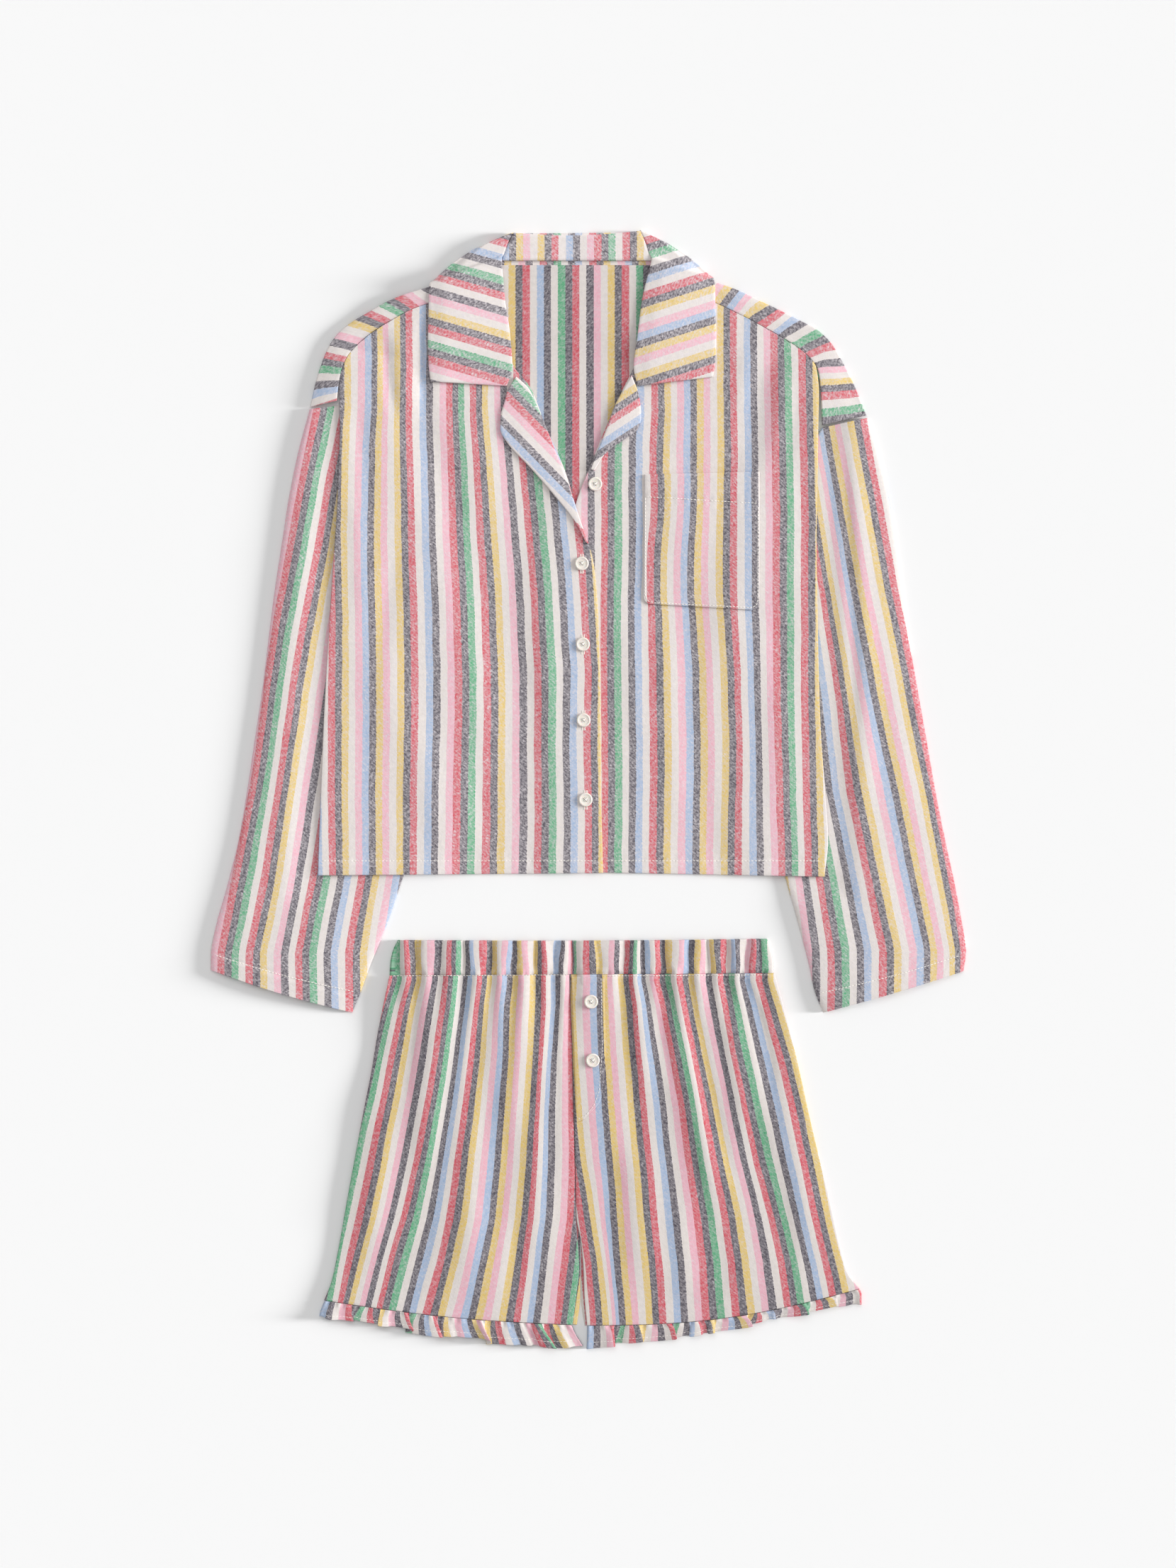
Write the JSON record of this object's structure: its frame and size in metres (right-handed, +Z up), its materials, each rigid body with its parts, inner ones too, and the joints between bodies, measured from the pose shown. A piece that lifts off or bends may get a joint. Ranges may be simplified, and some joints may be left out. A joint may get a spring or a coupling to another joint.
{
  "type": "pyjama set",
  "caption": "Child's striped brushed-cotton pyjamas laid flat: notch-collared button shirt with a chest pocket, above elasticated shorts with frilled hems",
  "frame": {"origin": "middle of the whole layout's outline, on the surface it lies on", "axes": "+Z up from the surface, +Y from the shorts' hems to the shirt's collar, +X to the viewer's right"},
  "size_m": [0.6179, 0.914, 0.008],
  "materials": {
    "twill": "yarn-dyed striped cotton twill, brushed on both faces to a soft matt nap",
    "button": "pearly cream polyester resin, polished, with a raised rim"
  },
  "bodies": {
    "root": {"sleeve_right": "twill", "sleeve_left": "twill", "back": "twill", "front_right": "twill", "front_left": "twill", "lapel_right": "twill", "lapel_left": "twill", "collar": "twill", "pocket": "twill", "shirt_button_1": "button", "shirt_button_2": "button", "shirt_button_3": "button", "shirt_button_4": "button", "shirt_button_5": "button", "shorts_back_right": "twill", "shorts_back_left": "twill", "shorts_front_right": "twill", "shorts_front_left": "twill", "waistband": "twill", "fly": "twill", "frill_right": "twill", "frill_left": "twill", "shorts_button_1": "button", "shorts_button_2": "button"}
  },
  "joints": []
}
